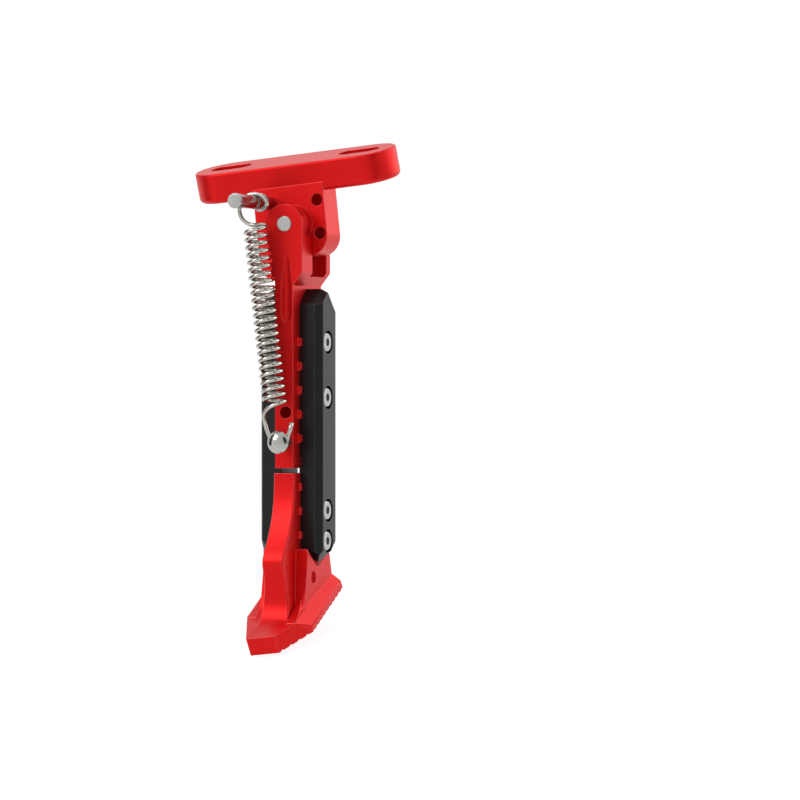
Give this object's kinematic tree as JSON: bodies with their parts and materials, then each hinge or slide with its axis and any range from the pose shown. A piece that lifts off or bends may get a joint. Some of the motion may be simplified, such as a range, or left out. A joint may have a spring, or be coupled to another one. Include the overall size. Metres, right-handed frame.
{
  "type": "folding kickstand",
  "caption": "Folding scooter kickstand: slotted deck bracket, toothed two-piece leg clamped between side bars, grip foot and over-centre spring.",
  "frame": {"origin": "centre of the bracket plate's top face, midway between the two slots", "axes": "+Z out of the plate's top face into the deck, +X along the plate and the slots (the leg folds that way), +Y away from the kick side"},
  "size_m": [0.084, 0.0974, 0.178],
  "materials": {
    "red_anodised": "satin red anodising over fine blasting",
    "black_anodised": "satin black anodising",
    "bright_steel": "bright turned steel",
    "spring_wire": "nickel-plated spring wire",
    "dark_steel": "phosphated spring steel",
    "bronze": "sintered bronze",
    "nylon": "natural nylon"
  },
  "bodies": {
    "bracket": {"mount_bracket": "red_anodised", "pivot_bush": "bronze", "front_thrust_washer": "nylon", "back_thrust_washer": "nylon", "upper_post_screw": "bright_steel", "upper_post_flange": "bright_steel", "upper_post_sleeve": "bright_steel"},
    "leg": {"upper_leg": "red_anodised", "foot": "red_anodised", "left_side_bar": "black_anodised", "right_side_bar": "black_anodised", "clamp_screw_1": "bright_steel", "clamp_screw_2": "bright_steel", "clamp_screw_3": "bright_steel", "clamp_screw_4": "bright_steel", "pivot_pin": "bright_steel", "pin_clip": "dark_steel", "lower_post_screw": "bright_steel", "lower_post_sleeve": "bright_steel"},
    "spring": {"spring": "spring_wire"}
  },
  "joints": [
    {"name": "leg_swing", "type": "hinge", "parent": "bracket", "child": "leg", "pos_m": [0.0015, -0.0263, -0.0206], "axis": [0, -0.9724, 0.2334], "range_deg": [0, 90], "deforming": ["spring"]},
    {"name": "spring_swing", "type": "hinge", "parent": "bracket", "child": "spring", "pos_m": [-0.0082, -0.02992, -0.00996], "axis": [0, -0.9724, 0.2334], "range_deg": [0, 80]}
  ],
  "couplings": [
    {"joint": "spring_swing", "follows": "leg_swing", "ratio": 0.8716}
  ]
}
